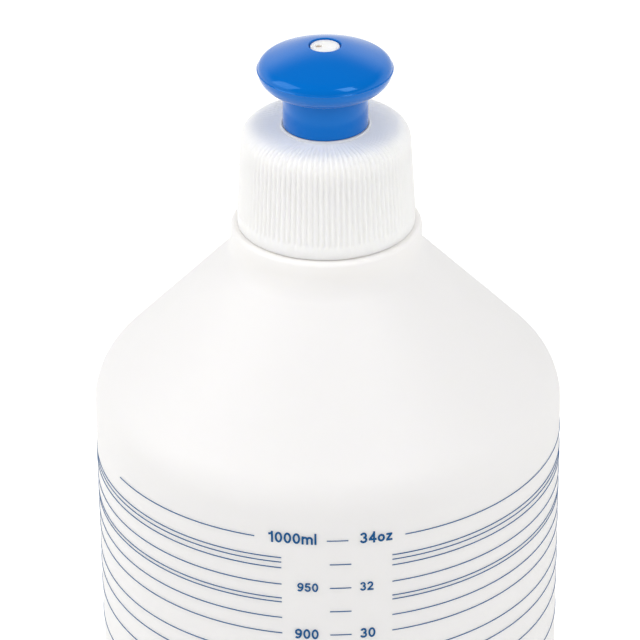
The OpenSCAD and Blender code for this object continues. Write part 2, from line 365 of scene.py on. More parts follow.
SIX = [oval(0.32, 0.33, 0.22, 0.23), bend(0.4, 0.42, 0.3, 0.48, 185, 58)]
GLYPHS = {
    "0": (0.64, [oval(0.32, 0.5, 0.22, 0.4)]),
    "1": (0.44, [[(0.02, 0.74), (0.2, 0.78), (0.31, 0.9)], [(0.31, 1.0), (0.31, 0.0)]]),
    "2": (0.64, [bend(0.31, 0.67, 0.21, 0.23, 170, -38) + [(0.11, 0.12)], [(0.02, 0.1), (0.63, 0.1)]]),
    "3": (0.64, [bend(0.31, 0.7, 0.19, 0.2, 165, -90), bend(0.31, 0.31, 0.22, 0.21, 92, -165)]),
    "4": (0.64, [[(0.44, 0.0), (0.44, 1.0)], [(0.46, 0.88), (0.08, 0.3)], [(0.03, 0.3), (0.64, 0.3)]]),
    "5": (
        0.64,
        [[(0.56, 0.9), (0.15, 0.9)], [(0.17, 0.94), (0.12, 0.5)], bend(0.3, 0.35, 0.23, 0.25, 140, -165)],
    ),
    "6": (0.64, SIX),
    "7": (0.64, [[(0.03, 0.9), (0.62, 0.9)], [(0.56, 0.88), (0.24, 0.0)]]),
    "8": (0.64, [oval(0.32, 0.7, 0.19, 0.2), oval(0.32, 0.31, 0.22, 0.21)]),
    "9": (0.64, [[(0.64 - x, 1.0 - z) for x, z in stroke] for stroke in SIX]),
    "m": (0.94, [[(0.1, 0.0), (0.1, 0.72)], arch(0.1), arch(0.47)]),
    "l": (0.2, [[(0.1, 0.0), (0.1, 1.0)]]),
    "o": (0.62, [oval(0.31, 0.35, 0.21, 0.26)]),
    "z": (0.52, [[(0.03, 0.62), (0.5, 0.62)], [(0.4, 0.58), (0.1, 0.14)], [(0.02, 0.1), (0.51, 0.1)]]),
}
GLYPH_GAP = 0.07
GLYPH_HALF = 0.08


def band(path, half, low, high):
    """A flat stroke along a path of (x, y) points, from one height to another.
    A path that ends where it starts is closed."""
    at = np.array(path, float)
    closed = np.allclose(at[0], at[-1])
    if closed:
        at = at[:-1]
        before, after = np.roll(at, 1, 0), np.roll(at, -1, 0)
    else:
        before, after = np.vstack([2 * at[0] - at[1], at[:-1]]), np.vstack([at[1:], 2 * at[-1] - at[-2]])
    along = after - before
    side = np.column_stack([-along[:, 1], along[:, 0]]) / np.linalg.norm(along, axis=1)[:, None] * half
    corners = [(at - side, low), (at + side, low), (at + side, high), (at - side, high)]
    verts = [(*flat[i], z) for i in range(len(at)) for flat, z in corners]
    n = len(at)
    faces = []
    for i in range(n if closed else n - 1):
        j = (i + 1) % n
        faces += [[4 * i + k, 4 * j + k, 4 * j + (k + 1) % 4, 4 * i + (k + 1) % 4] for k in range(4)]
    if not closed:
        faces += [[0, 1, 2, 3], [4 * n - 1, 4 * n - 2, 4 * n - 3, 4 * n - 4]]
    return verts, faces


# Node trees


SOCKETS = {float: "NodeSocketFloat", int: "NodeSocketInt", tuple: "NodeSocketColor"}


def new_tree(name, kind, inputs, output, output_type):
    """A node group with one output. Its inputs have their defaults, or the word Geometry or Material."""
    tree = bpy.data.node_groups.new(name, kind)
    for label, default in inputs.items():
        plain = type(default) in SOCKETS
        socket_type = SOCKETS[type(default)] if plain else f"NodeSocket{default}"
        socket = tree.interface.new_socket(name=label, in_out="INPUT", socket_type=socket_type)
        if plain:
            socket.default_value = default
    tree.interface.new_socket(name=output, in_out="OUTPUT", socket_type=f"NodeSocket{output_type}")
    return tree, tree.nodes.new("NodeGroupInput").outputs, tree.nodes.new("NodeGroupOutput").inputs


def add(tree, kind, inputs=None, **settings):
    """Adds a node with its settings, and sets or links its inputs, which are named by label or number."""
    node = tree.nodes.new(kind)
    for key, value in settings.items():
        setattr(node, key, value)
    for key, value in (inputs or {}).items():
        socket = node.inputs[key]
        if isinstance(value, bpy.types.NodeSocket):
            tree.links.new(value, socket)
        else:
            socket.default_value = value
    return node


def maths(tree, operation, a, b=0.0, clamp=False):
    return add(tree, "ShaderNodeMath", {0: a, 1: b}, operation=operation, use_clamp=clamp).outputs[0]


def grown(tree, values, mesh=None):
    """The plain mesh that a Geometry Nodes tree makes with these values for its named inputs."""
    source = bpy.data.objects.new("source", mesh or bpy.data.meshes.new("source"))
    bpy.context.scene.collection.objects.link(source)
    modifier = source.modifiers.new("Nodes", "NODES")
    modifier.node_group = tree
    identifiers = {s.name: s.identifier for s in tree.interface.items_tree if s.in_out == "INPUT"}
    for label, value in values.items():
        modifier[identifiers[label]] = value
    graph = bpy.context.evaluated_depsgraph_get()
    result = bpy.data.meshes.new_from_object(source.evaluated_get(graph), depsgraph=graph)
    source.modifiers.remove(modifier)
    bpy.data.objects.remove(source)
    return result


def finish_tree(tree, geometry, material, result):
    """Ends a Geometry Nodes tree in Realize Instances and Set Material."""
    real = add(tree, "GeometryNodeRealizeInstances", {"Geometry": geometry})
    painted = add(tree, "GeometryNodeSetMaterial", {"Geometry": real.outputs[0], "Material": material})
    tree.links.new(painted.outputs[0], result)


def thread_tree():
    """A rounded ridge along a helix, whose ends run out into the wall."""
    tree, given, result = new_tree(
        "Thread ridge",
        "GeometryNodeTree",
        {
            "Geometry": "Geometry",
            "Radius": 0.0125,
            "Pitch": 0.004,
            "Turns": 1.5,
            "Bead": 0.0009,
            "Height": 0.0,
            "Angle": 0.0,
            "Run-out": RUN_OUT,
            "Material": "Material",
        },
        "Geometry",
        "Geometry",
    )
    rise = maths(tree, "MULTIPLY", given["Pitch"], given["Turns"])
    spiral = add(
        tree,
        "GeometryNodeCurveSpiral",
        {
            "Resolution": 96,
            "Rotations": given["Turns"],
            "Start Radius": given["Radius"],
            "End Radius": given["Radius"],
            "Height": rise,
            "Reverse": True,
        },
    )
    along = add(tree, "GeometryNodeSplineParameter").outputs["Factor"]
    to_end = maths(tree, "MINIMUM", along, maths(tree, "SUBTRACT", 1.0, along))
    size = maths(tree, "MAXIMUM", maths(tree, "DIVIDE", to_end, given["Run-out"], clamp=True), 0.02)
    sized = add(tree, "GeometryNodeSetCurveRadius", {"Curve": spiral.outputs[0], "Radius": size})
    bead = add(
        tree, "GeometryNodeCurvePrimitiveCircle", {"Resolution": 12, "Radius": given["Bead"]}, mode="RADIUS"
    )
    swept = add(
        tree,
        "GeometryNodeCurveToMesh",
        {"Curve": sized.outputs[0], "Profile Curve": bead.outputs[0], "Fill Caps": True},
    )
    place = add(tree, "ShaderNodeCombineXYZ", {"Z": given["Height"]})
    turn = add(tree, "ShaderNodeCombineXYZ", {"Z": given["Angle"]})
    placed = add(
        tree,
        "GeometryNodeTransform",
        {"Geometry": swept.outputs[0], "Translation": place.outputs[0], "Rotation": turn.outputs[0]},
    )
    finish_tree(tree, placed.outputs[0], given["Material"], result[0])
    return tree


def ring_tree():
    """Copies of one sector, set side by side all round the Z axis."""
    tree, given, result = new_tree(
        "Ring of sectors",
        "GeometryNodeTree",
        {
            "Geometry": "Geometry",
            "Count": 96,
            "Material": "Material",
        },
        "Geometry",
        "Geometry",
    )
    points = add(tree, "GeometryNodePoints", {"Count": given["Count"]})
    pitch = maths(tree, "DIVIDE", 2 * math.pi, given["Count"])
    turn = maths(tree, "MULTIPLY", add(tree, "GeometryNodeInputIndex").outputs[0], pitch)
    rotation = add(tree, "ShaderNodeCombineXYZ", {"Z": turn})
    sectors = add(
        tree,
        "GeometryNodeInstanceOnPoints",
        {"Points": points.outputs[0], "Instance": given["Geometry"], "Rotation": rotation.outputs[0]},
    )
    finish_tree(tree, sectors.outputs[0], given["Material"], result[0])
    return tree


def line_tree():
    """One line of ink round the wall at the height of each point of the mesh that comes in."""
    tree, given, result = new_tree(
        "Ink lines",
        "GeometryNodeTree",
        {
            "Geometry": "Geometry",
            "Radius": 0.042,
            "Start": 0.0,
            "Sweep": 1.0,
            "Steps": 32,
            "Line Width": 0.0003,
            "Ink Thickness": 0.0001,
            "Material": "Material",
        },
        "Geometry",
        "Geometry",
    )
    path = add(
        tree,
        "GeometryNodeCurveArc",
        {
            "Resolution": given["Steps"],
            "Radius": given["Radius"],
            "Start Angle": given["Start"],
            "Sweep Angle": given["Sweep"],
        },
        mode="RADIUS",
    )
    section = add(
        tree,
        "GeometryNodeCurvePrimitiveQuadrilateral",
        {"Width": given["Ink Thickness"], "Height": given["Line Width"]},
        mode="RECTANGLE",
    )
    swept = add(
        tree,
        "GeometryNodeCurveToMesh",
        {"Curve": path.outputs[0], "Profile Curve": section.outputs[0], "Fill Caps": True},
    )
    lines = add(
        tree,
        "GeometryNodeInstanceOnPoints",
        {"Points": given["Geometry"], "Instance": swept.outputs[0]},
    )
    finish_tree(tree, lines.outputs[0], given["Material"], result[0])
    return tree


# Materials


def relief_group():
    """Soft waves and fine grain of a moulded surface, as a height."""
    name = "Moulded relief"
    if name in bpy.data.node_groups:
        return bpy.data.node_groups[name]
    tree, given, result = new_tree(
        name,
        "ShaderNodeTree",
        {
            "Wave Scale": 40.0,
            "Wave Height": 0.5,
            "Grain Scale": 2500.0,
            "Grain Height": 0.05,
        },
        "Height",
        "Float",
    )
    place = add(tree, "ShaderNodeTexCoord").outputs["Object"]
    wave = add(tree, "ShaderNodeTexNoise", {"Vector": place, "Scale": given["Wave Scale"], "Detail": 1.0})
    grain = add(tree, "ShaderNodeTexNoise", {"Vector": place, "Scale": given["Grain Scale"], "Detail": 3.0})
    waves = maths(tree, "MULTIPLY", wave.outputs[0], given["Wave Height"])
    grains = maths(tree, "MULTIPLY", grain.outputs[0], given["Grain Height"])
    tree.links.new(maths(tree, "ADD", waves, grains), result["Height"])
    return tree


def fleck_group():
    """A colour with a slow mottle and a few small specks in it."""
    name = "Flecked colour"
    if name in bpy.data.node_groups:
        return bpy.data.node_groups[name]
    tree, given, result = new_tree(
        name,
        "ShaderNodeTree",
        {
            "Color": (0.9, 0.9, 0.9, 1.0),
            "Speck Color": (0.4, 0.4, 0.4, 1.0),
            "Speck Scale": 160.0,
            "Speck Size": 0.03,
            "Speck Share": 0.05,
            "Mottle": 0.02,
        },
        "Color",
        "Color",
    )
    place = add(tree, "ShaderNodeTexCoord").outputs["Object"]
    cells = add(tree, "ShaderNodeTexVoronoi", {"Vector": place, "Scale": given["Speck Scale"]}, feature="F1")
    near = maths(tree, "LESS_THAN", cells.outputs["Distance"], given["Speck Size"])
    pick = add(tree, "ShaderNodeSeparateColor", {"Color": cells.outputs["Color"]}).outputs[0]
    mask = maths(tree, "MULTIPLY", near, maths(tree, "LESS_THAN", pick, given["Speck Share"]))
    cloud = add(tree, "ShaderNodeTexNoise", {"Vector": place, "Scale": 18.0, "Detail": 2.0}).outputs[0]
    shade = maths(tree, "SUBTRACT", 1.0, maths(tree, "MULTIPLY", cloud, given["Mottle"]))
    mottled = add(tree, "ShaderNodeVectorMath", {0: given["Color"], 1: shade}, operation="MULTIPLY")
    mixed = add(
        tree,
        "ShaderNodeMix",
        {"Factor": mask, "A": mottled.outputs[0], "B": given["Speck Color"]},
        data_type="RGBA",
    )
    tree.links.new(mixed.outputs["Result"], result["Color"])
    return tree


def plastic(name, base, roughness, flecks, relief, bump=0.2, **shader):
    """A moulded material. flecks and relief are the values of the two groups' inputs."""
    if name in bpy.data.materials:
        return bpy.data.materials[name]
    material = bpy.data.materials.new(name)
    material.use_nodes = True
    tree = material.node_tree
    surface = tree.nodes["Principled BSDF"]
    surface.inputs["Roughness"].default_value = roughness
    for label, value in shader.items():
        surface.inputs[label.replace("_", " ")].default_value = value
    colours = bpy.context.scene.bottle_colours
    paint = add(
        tree,
        "ShaderNodeGroup",
        {"Color": tuple(base), "Speck Color": tuple(colours.speck), **flecks},
        node_tree=fleck_group(),
    )
    height = add(tree, "ShaderNodeGroup", relief, node_tree=relief_group())
    normal = add(
        tree, "ShaderNodeBump", {"Strength": bump, "Distance": 0.2 * MM, "Height": height.outputs["Height"]}
    )
    tree.links.new(paint.outputs["Color"], surface.inputs["Base Color"])
    tree.links.new(normal.outputs["Normal"], surface.inputs["Normal"])
    material.diffuse_color = tuple(base)
    return material


def polyethylene():
    return plastic(
        "Natural polyethylene",
        bpy.context.scene.bottle_colours.natural,
        0.5,
        {"Speck Scale": 60.0, "Speck Size": 0.02, "Speck Share": 0.12, "Mottle": 0.015},
        {"Wave Scale": 55.0, "Wave Height": 1.0, "Grain Scale": 1500.0, "Grain Height": 0.05},
        Subsurface_Weight=0.5,
        Subsurface_Radius=(0.003, 0.003, 0.0027),
        Subsurface_Scale=1.0,
        Specular_IOR_Level=0.35,
    )


def white_plastic():
    return plastic(
        "White plastic",
        bpy.context.scene.bottle_colours.white,
        0.42,
        {"Speck Scale": 170.0, "Speck Size": 0.035, "Speck Share": 0.04, "Mottle": 0.01},
        {"Wave Scale": 120.0, "Wave Height": 0.3, "Grain Scale": 3000.0, "Grain Height": 0.1},
        Subsurface_Weight=0.8,
        Subsurface_Radius=(0.0022, 0.0022, 0.002),
        Subsurface_Scale=1.0,
        Specular_IOR_Level=0.35,
    )


# Brownish plastic for the gate mark: its colour is painted shade in the plug's dimple.
def gate_shade_plastic():
    return plastic(
        "Gate mark",
        bpy.context.scene.bottle_colours.gate,
        0.5,
        {"Speck Share": 0.0, "Mottle": 0.1},
        {"Wave Scale": 900.0, "Wave Height": 0.5, "Grain Scale": 4000.0, "Grain Height": 0.2},
    )


def blue_plastic():
    return plastic(
        "Blue plastic",
        bpy.context.scene.bottle_colours.blue,
        0.12,
        {"Speck Share": 0.0, "Mottle": 0.05},
        {"Wave Scale": 260.0, "Wave Height": 0.45, "Grain Scale": 3000.0, "Grain Height": 0.02},
        Specular_IOR_Level=0.55,
        Specular_Tint=(0.3, 0.65, 1.0, 1.0),
        Sheen_Weight=0.2,
        Sheen_Roughness=0.3,
    )


def blue_ink():
    return plastic(
        "Blue ink",
        bpy.context.scene.bottle_colours.ink,
        0.5,
        {"Speck Share": 0.0, "Mottle": 0.1},
        {"Wave Scale": 400.0, "Wave Height": 0.2, "Grain Scale": 4000.0, "Grain Height": 0.1},
        Specular_IOR_Level=0.2,
    )


def foam():
    return plastic(
        "Foam",
        bpy.context.scene.bottle_colours.foam,
        0.85,
        {"Speck Scale": 900.0, "Speck Size": 0.2, "Speck Share": 0.3, "Mottle": 0.05},
        {"Wave Scale": 900.0, "Wave Height": 0.8, "Grain Scale": 3500.0, "Grain Height": 0.4},
    )


# Outlines, as (radius, height) points in metres with the solid on the left


def slope_height(s, r, inset=0.0):
    """Height of the shoulder's slope at a radius, for the surface that lies inset below the outside."""
    end_r = s.body_d / 2 - s.shoulder_r * (1 - math.sin(s.shoulder_slope))
    end_z = s.body_h + s.shoulder_r * math.cos(s.shoulder_slope)
    return end_z + (end_r - r) * math.tan(s.shoulder_slope) - inset / math.cos(s.shoulder_slope)


def bottle_outside(s):
    body_r, ring_r, neck_r = s.body_d / 2, s.ring_d / 2, s.neck_d / 2
    stand_r = body_r - s.heel_r
    stand_in_r = stand_r - s.stand_w
    push_r = stand_in_r - s.push_slope_w
    rest = QUARTER - s.shoulder_slope
    ring_z = slope_height(s, ring_r) + s.ring_h
    neck_z = BOTTLE_HIGH.z
    fillet_z = slope_height(s, ring_r) + s.ring_fillet_r * math.tan(rest / 2)
    soft = 0.8 * MM
    slope_part = [(push_r + t * s.push_slope_w, s.push_h * (1 - t) ** 1.6) for t in np.linspace(0, 1, 9)]
    points = [(0.0, s.push_h), (push_r - 4 * soft, s.push_h)] + slope_part
    points += arc(stand_r, s.heel_r, s.heel_r, -QUARTER, 0, 14)
    points += [(body_r, s.heel_r + t * (s.body_h - s.heel_r)) for t in np.linspace(0, 1, 9)[1:-1]]
    points += arc(body_r - s.shoulder_r, s.body_h, s.shoulder_r, 0, rest, 14)
    points += arc(ring_r + s.ring_fillet_r, fillet_z, s.ring_fillet_r, math.pi + rest, math.pi, 12)
    points += arc(ring_r - s.ring_edge_r, ring_z - s.ring_edge_r, s.ring_edge_r, 0, QUARTER, 7)
    points += [(neck_r + soft / 2, ring_z), (neck_r, ring_z + soft / 2)]
    points += arc(neck_r - s.lip_r, neck_z - s.lip_r, s.lip_r, 0, QUARTER, 6)
    return points


def bottle_inside(s):
    body_r, mouth_r = s.body_d / 2, s.neck_d / 2 - s.neck_wall
    stand_r = body_r - s.heel_r
    stand_in_r = stand_r - s.stand_w
    push_r = stand_in_r - s.push_slope_w
    points = arc(mouth_r + s.lip_r, BOTTLE_HIGH.z - s.lip_r, s.lip_r, QUARTER, math.pi, 6)
    points += [(mouth_r, slope_height(s, mouth_r, s.wall))]
    points += arc(body_r - s.shoulder_r, s.body_h, s.shoulder_r - s.wall, QUARTER - s.shoulder_slope, 0, 10)
    points += arc(stand_r, s.heel_r, s.heel_r - s.wall, 0, -QUARTER, 10)
    points += [(stand_in_r, s.wall), (push_r, s.push_h + s.wall), (0.0, s.push_h + s.wall)]
    return points


def skirt_radii(s):
    """Radii of the skirt's bore, its upper end and its lower end."""
    bore_r = bpy.context.scene.bottle_sizes.neck_d / 2 + s.thread_room
    return bore_r, bore_r + s.skirt_wall, bore_r + s.skirt_wall + s.skirt_flare


def closure_line(s, depth):
    """The closure's ribbed outside, from the smooth band to the collar, at a depth below the ribs' top."""
    _, top_r, skirt_r = skirt_radii(s)
    top_z = WASHER_HIGH.z + s.top_t
    collar_r = bpy.context.scene.bottle_spout.stem_d / 2 + s.collar_w
    start_z = CLOSURE_LOW.z + s.band_h
    corner_z = top_z - s.corner_r
    rib_z = start_z + s.rib_fade
    side = [
        (skirt_r + t * (top_r - skirt_r) - depth, rib_z + t * (corner_z - rib_z))
        for t in np.linspace(0, 1, 7)[:-1]
    ]
    corner = arc(top_r - s.corner_r, corner_z, s.corner_r - depth, 0, QUARTER, 10)
    inner = top_r - s.corner_r
    top = [(inner + t * (collar_r - inner), top_z - depth * (1 - t)) for t in np.linspace(0, 1, 6)[1:]]
    return [(skirt_r, start_z)] + side + corner + top


# Operators


class DILUTION_OT_bottle(bpy.types.Operator):
    """Builds the blown bottle with its seams and the thread on its neck"""

    bl_idname = "dilution.bottle"
    bl_label = "Bottle"

    def execute(self, context):
        s = context.scene.bottle_sizes
        turn = 2 * math.pi
        fine = [math.radians(d) for d in (-0.9, -0.6, -0.3, 0.3, 0.6, 0.9)]
        near_seams = [math.fmod(c + f + turn, turn) for c in (0, math.pi) for f in fine]
        turns = sorted(circle(240) + near_seams)
        outside = bottle_outside(s)
        seam_angle = s.seam_w / (s.body_d / 2)

        def seam(k, a):
            if k >= len(outside):
                return 0.0
            off = abs(math.remainder(a, math.pi)) / seam_angle
            return s.seam_h * math.exp(-(off**2))

        shell = new_mesh("bottle_shell", lathe(outside + bottle_inside(s), turns, swell=seam))
        shown("bottle_shell", shell, polyethylene(), "bottle_body", "natural_polyethylene", "bottle")

        top = BOTTLE_HIGH.z - s.thread_start
        thread = grown(
            thread_tree(),
            {
                "Radius": s.neck_d / 2,
                "Pitch": s.thread_pitch,
                "Turns": s.thread_turns,
                "Bead": s.thread_bead,
                "Height": top - s.thread_pitch * s.thread_turns,
                "Angle": 0.0,
                "Run-out": RUN_OUT,
                "Material": polyethylene(),
            },
        )
        shown("neck_thread", thread, polyethylene(), "bottle_body", "natural_polyethylene")
        return {"FINISHED"}


class DILUTION_OT_washer(bpy.types.Operator):
    """Gives the washer its foam"""

    bl_idname = "dilution.washer"
    bl_label = "Sealing washer"

    def execute(self, context):
        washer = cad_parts["sealing_washer"]
        washer.data.materials.clear()
        washer.data.materials.append(foam())
        return {"FINISHED"}


class DILUTION_OT_closure(bpy.types.Operator):
    """Builds the screw closure with its ribs, its thread and the post with the plug"""

    bl_idname = "dilution.closure"
    bl_label = "Screw closure"

    PLUG_TURNS = 96
    MARK_EDGE = 0.1 * MM

    def execute(self, context):
        s = context.scene.bottle_closure
        material = white_plastic()
        plate_z = WASHER_HIGH.z
        top_z = plate_z + s.top_t
        post_z = top_z + s.post_h
        post_r, bore_r, plug_r = s.post_d / 2, s.post_bore_d / 2, s.plug_d / 2
        skirt_bore_r, _, skirt_r = skirt_radii(s)
        pocket_r = WASHER_HIGH.x + s.pocket_gap
        pocket_z = plate_z - s.pocket_h
        bead_r = post_r + s.bead_h
        hem_z = CLOSURE_LOW.z - s.hem_drop
        below = [(skirt_bore_r, hem_z)] + arc(skirt_r - s.hem_r, hem_z + s.hem_r, s.hem_r, -QUARTER, 0, 4)
        lip_r = context.scene.bottle_spout.stem_d / 2 + s.collar_gap + s.collar_lip_w / 2
        lip = arc(lip_r, top_z, s.collar_lip_w / 2, 0, math.pi, 8, flat=2 * s.collar_lip_h / s.collar_lip_w)
        inside = lip + [
            (post_r, top_z),
            (post_r, post_z - s.bead_l - s.bead_h),
            (bead_r, post_z - s.bead_l),
            (bead_r, post_z - s.bead_h),
            (post_r, post_z),
            (bore_r, post_z),
            (bore_r, plate_z),
            (pocket_r, plate_z),
            (pocket_r, pocket_z),
            (skirt_bore_r, pocket_z - (skirt_bore_r - pocket_r)),
        ]
        crest = below + closure_line(s, 0.0) + inside
        groove = below + closure_line(s, s.rib_h) + inside
        sectors = grown(
            ring_tree(),
            {"Count": s.rib_n, "Material": material},
            new_mesh("sector", self.sector(crest, groove, math.pi / s.rib_n)),
        )

        end_z = post_z - s.post_end_t
        reach = 0.3 * MM
        pitch = 2 * math.pi / s.window_n
        web = pitch - s.window_angle
        webs = [
            sector(plug_r - reach, bore_r + reach, end_z, post_z, i * pitch - web / 2, i * pitch + web / 2)
            for i in range(s.window_n)
        ]
        plug_z = CLOSURE_HIGH.z
        plug = lathe(
            [(0.0, end_z), (plug_r, end_z)]
            + arc(plug_r - s.plug_edge_r, plug_z - s.plug_edge_r, s.plug_edge_r, 0, QUARTER, 5)
            + [(s.gate_r, plug_z), (0.8 * s.gate_r, plug_z - s.gate_h), (0.0, plug_z - s.gate_h)],
            circle(self.PLUG_TURNS),
        )
        # The dimple round the gate mark is the plug's last two rings and its pole
        dimple = 2 * self.PLUG_TURNS + 1
        plug[0][-dimple:] = [(x - s.gate_off, y, z) for x, y, z in plug[0][-dimple:]]
        mesh = new_mesh("closure_body", joined([shape_of(sectors), plug] + webs))
        shown("closure_body", mesh, material, "closure", "white_plastic", "screw_closure")

        # A brownish disc at the bottom of the plug's dimple: painted shade where the dimple lies in shadow.
        gate_z = plug_z - s.gate_h
        mark_z = gate_z + 3 * self.MARK_EDGE
        mark_r = 0.75 * s.gate_r
        mark = lathe(
            [(0.0, gate_z - self.MARK_EDGE / 2), (mark_r, gate_z - self.MARK_EDGE / 2)]
            + arc(mark_r - self.MARK_EDGE, mark_z - self.MARK_EDGE, self.MARK_EDGE, 0, QUARTER, 3)
            + [(0.0, mark_z)],
            circle(self.PLUG_TURNS // 2),
        )
        mark = [(x - s.gate_off, y, z) for x, y, z in mark[0]], mark[1]
        shown("gate_mark_painted_shade", new_mesh("gate_mark_painted_shade", mark), gate_shade_plastic(), "closure", "white_plastic")

        neck = context.scene.bottle_sizes
        thread = grown(
            thread_tree(),
            {
                "Radius": skirt_bore_r,
                "Pitch": neck.thread_pitch,
                "Turns": neck.thread_turns,
                "Bead": s.thread_bead,
                "Height": BOTTLE_HIGH.z - neck.thread_start - neck.thread_pitch * (neck.thread_turns + 0.25),
                "Angle": QUARTER,
                "Run-out": RUN_OUT,
                "Material": material,
            },
        )
        shown("closure_thread", thread, material, "closure", "white_plastic")
        return {"FINISHED"}

    def sector(self, crest, groove, half):
        """The closure's skin within an angle half on either side of +X.
        A rib rises from groove to crest in its middle."""
        across = np.linspace(-1, 1, 9)
        verts = []
        for (cr, cz), (gr, gz) in zip(crest, groove):
            for u in across:
                f = math.cos(math.pi * u / 2) ** 2
                r, z = gr + f * (cr - gr), gz + f * (cz - gz)
                verts.append((r * math.cos(u * half), r * math.sin(u * half), z))
        n, rows = len(across), len(crest)
        faces = [
            [k * n + i, k * n + i + 1, (k + 1) % rows * n + i + 1, (k + 1) % rows * n + i]
            for k in range(rows)
            for i in range(n - 1)
        ]
        return verts, faces


class DILUTION_OT_spout(bpy.types.Operator):
    """Builds the push-pull spout"""

    bl_idname = "dilution.spout"
    bl_label = "Push-pull spout"

    def execute(self, context):
        s, closure = context.scene.bottle_spout, context.scene.bottle_closure
        top_z = WASHER_HIGH.z + closure.top_t
        foot_z, crown_z = SPOUT_LOW.z, SPOUT_HIGH.z
        rim_z = top_z + s.rim_h
        post_z = top_z + closure.post_h
        stem_r, head_r = s.stem_d / 2, s.head_d / 2
        grip_r = closure.post_d / 2 + s.slide_gap
        room_r = closure.post_d / 2 + closure.bead_h + s.slide_gap
        hole_r = closure.plug_d / 2 + s.slide_gap
        recess_r = hole_r + s.recess_w
        mouth_r = recess_r + s.lip
        under_h = s.rim_h - s.stem_h
        brow_end = math.atan(s.brow_h / s.brow_w / math.tan(s.crown_slope))
        outline = [(grip_r, foot_z)]
        outline += arc(stem_r - s.foot_edge_r, foot_z + s.foot_edge_r, s.foot_edge_r, -QUARTER, 0, 5)
        outline += arc(stem_r, rim_z, head_r - stem_r, -QUARTER, 0, 14, flat=under_h / (head_r - stem_r))[:-1]
        outline += [
            (head_r, rim_z - s.flash_w),
            (head_r + s.flash_h, rim_z - s.flash_w / 3),
            (head_r + s.flash_h, rim_z + s.flash_w / 3),
            (head_r, rim_z + s.flash_w),
        ]
        outline += arc(head_r - s.brow_w, rim_z, s.brow_w, 0, brow_end, 12, flat=s.brow_h / s.brow_w)[1:]
        outline += arc(mouth_r, crown_z - s.lip, s.lip, QUARTER, math.pi, 5)
        outline += [
            (recess_r, crown_z - s.recess_h),
            (hole_r, crown_z - s.recess_h - s.recess_w),
            (hole_r, crown_z - s.end_t),
            (room_r, post_z + foot_z - top_z),
            (room_r, foot_z + s.grip_h),
            (grip_r, foot_z + s.grip_h - closure.bead_h),
        ]
        mesh = new_mesh("spout", lathe(outline, circle(192), loop=True))
        shown("spout", mesh, blue_plastic(), "spout", "blue_plastic", "push_pull_spout")
        return {"FINISHED"}


class DILUTION_OT_scale(bpy.types.Operator):
    """Prints the lines, strokes and numbers of the scale"""

    bl_idname = "dilution.scale"
    bl_label = "Printed scale"

    RATIOS = (50, 40, 32, 20, 15, 14, 11, 9, 7, 6, 5, 4, 3, 2, 1)
    SUNK = 0.01 * MM
    LAYER = 0.003 * MM

    def execute(self, context):
        s, bottle = context.scene.bottle_scale, context.scene.bottle_sizes
        ink = blue_ink()
        tree = line_tree()
        full, turn = s.full_ml, 2 * math.pi
        ratios = [full - full / (r + 1) for r in self.RATIOS]
        strokes = range(full - s.stroke_ml, s.lowest_ml - 1, -s.stroke_ml)
        lines = []
        for volumes, start, end, steps in (
            ([full], s.bare_start, s.top_left, 60),
            ([full], s.top_right, s.bare_end + turn, 190),
            (ratios, s.line_right, s.line_left + turn, 240),
            ([full], s.stroke_start + s.top_shift, s.stroke_end + s.top_shift, 6),
            (strokes, s.stroke_start, s.stroke_end, 6),
        ):
            points = [(0.0, 0.0, self.height(bottle, ml)) for ml in volumes]
            values = {
                "Radius": bottle.body_d / 2 + s.ink_t / 2 - self.SUNK,
                "Start": start - turn / 4,
                "Sweep": end - start,
                "Steps": steps,
                "Line Width": s.line_w,
                "Ink Thickness": s.ink_t,
                "Material": ink,
            }
            lines.append(shape_of(grown(tree, values, new_mesh("levels", (points, [])))))
        mesh = new_mesh("scale_lines", joined(lines))
        shown("scale_lines", mesh, ink, "bottle_body", "blue_ink", "printed_scale")

        numbers = []
        for ml in range(full, s.lowest_ml - 1, -s.number_ml):
            first = ml == full
            size = s.top_h if first else s.fifty_h if ml % 100 else s.hundred_h
            z = self.height(bottle, ml) + (s.top_lift if first else s.number_lift)
            left = s.numbers_left + (s.top_number_shift if first else 0.0)
            ounces = round(ml / OUNCE_ML)
            for amount, unit, edge, share in ((ml, "ml", left, 1.0), (ounces, "oz", s.numbers_right, 0.0)):
                text = f"{amount}{unit}" if first else f"{amount}"
                numbers.append(self.number(s, bottle, text, size, z, edge, share))
        shown("scale_numbers", new_mesh("scale_numbers", joined(numbers)), ink, "bottle_body", "blue_ink")
        return {"FINISHED"}

    def height(self, bottle, ml):
        """The height at which the bottle holds a volume in millilitres."""
        inner_r = bottle.body_d / 2 - bottle.wall
        heel = bottle.heel_r - bottle.wall
        stand_in_r = bottle.body_d / 2 - bottle.heel_r - bottle.stand_w
        push_r = stand_in_r - bottle.push_slope_w
        corner = 2 * math.pi * (inner_r - CUT_OFF_CENTRE * heel) * (1 - math.pi / 4) * heel**2
        push = math.pi * bottle.push_h / 3 * (stand_in_r**2 + stand_in_r * push_r + push_r**2)
        return bottle.wall + (ml * 1e-6 + corner + push) / (math.pi * inner_r**2)

    def number(self, s, bottle, text, size, z, edge, share):
        """A number on the wall, with that share of its width before the angle edge."""
        width = sum(GLYPHS[c][0] for c in text) + GLYPH_GAP * (len(text) - 1)
        start = -width * share
        r = bottle.body_d / 2 - self.SUNK
        parts = []
        for c in text:
            advance, strokes = GLYPHS[c]
            for k, stroke in enumerate(strokes):
                path = [(start + x, y - 0.5) for x, y in stroke]
                verts, faces = band(path, GLYPH_HALF, 0.0, s.ink_t + k * self.LAYER)
                turns = [(r + out, edge + x * size / r, z + y * size) for x, y, out in verts]
                parts.append(([(at * math.sin(a), -at * math.cos(a), h) for at, a, h in turns], faces))
            start += advance + GLYPH_GAP
        return joined(parts)


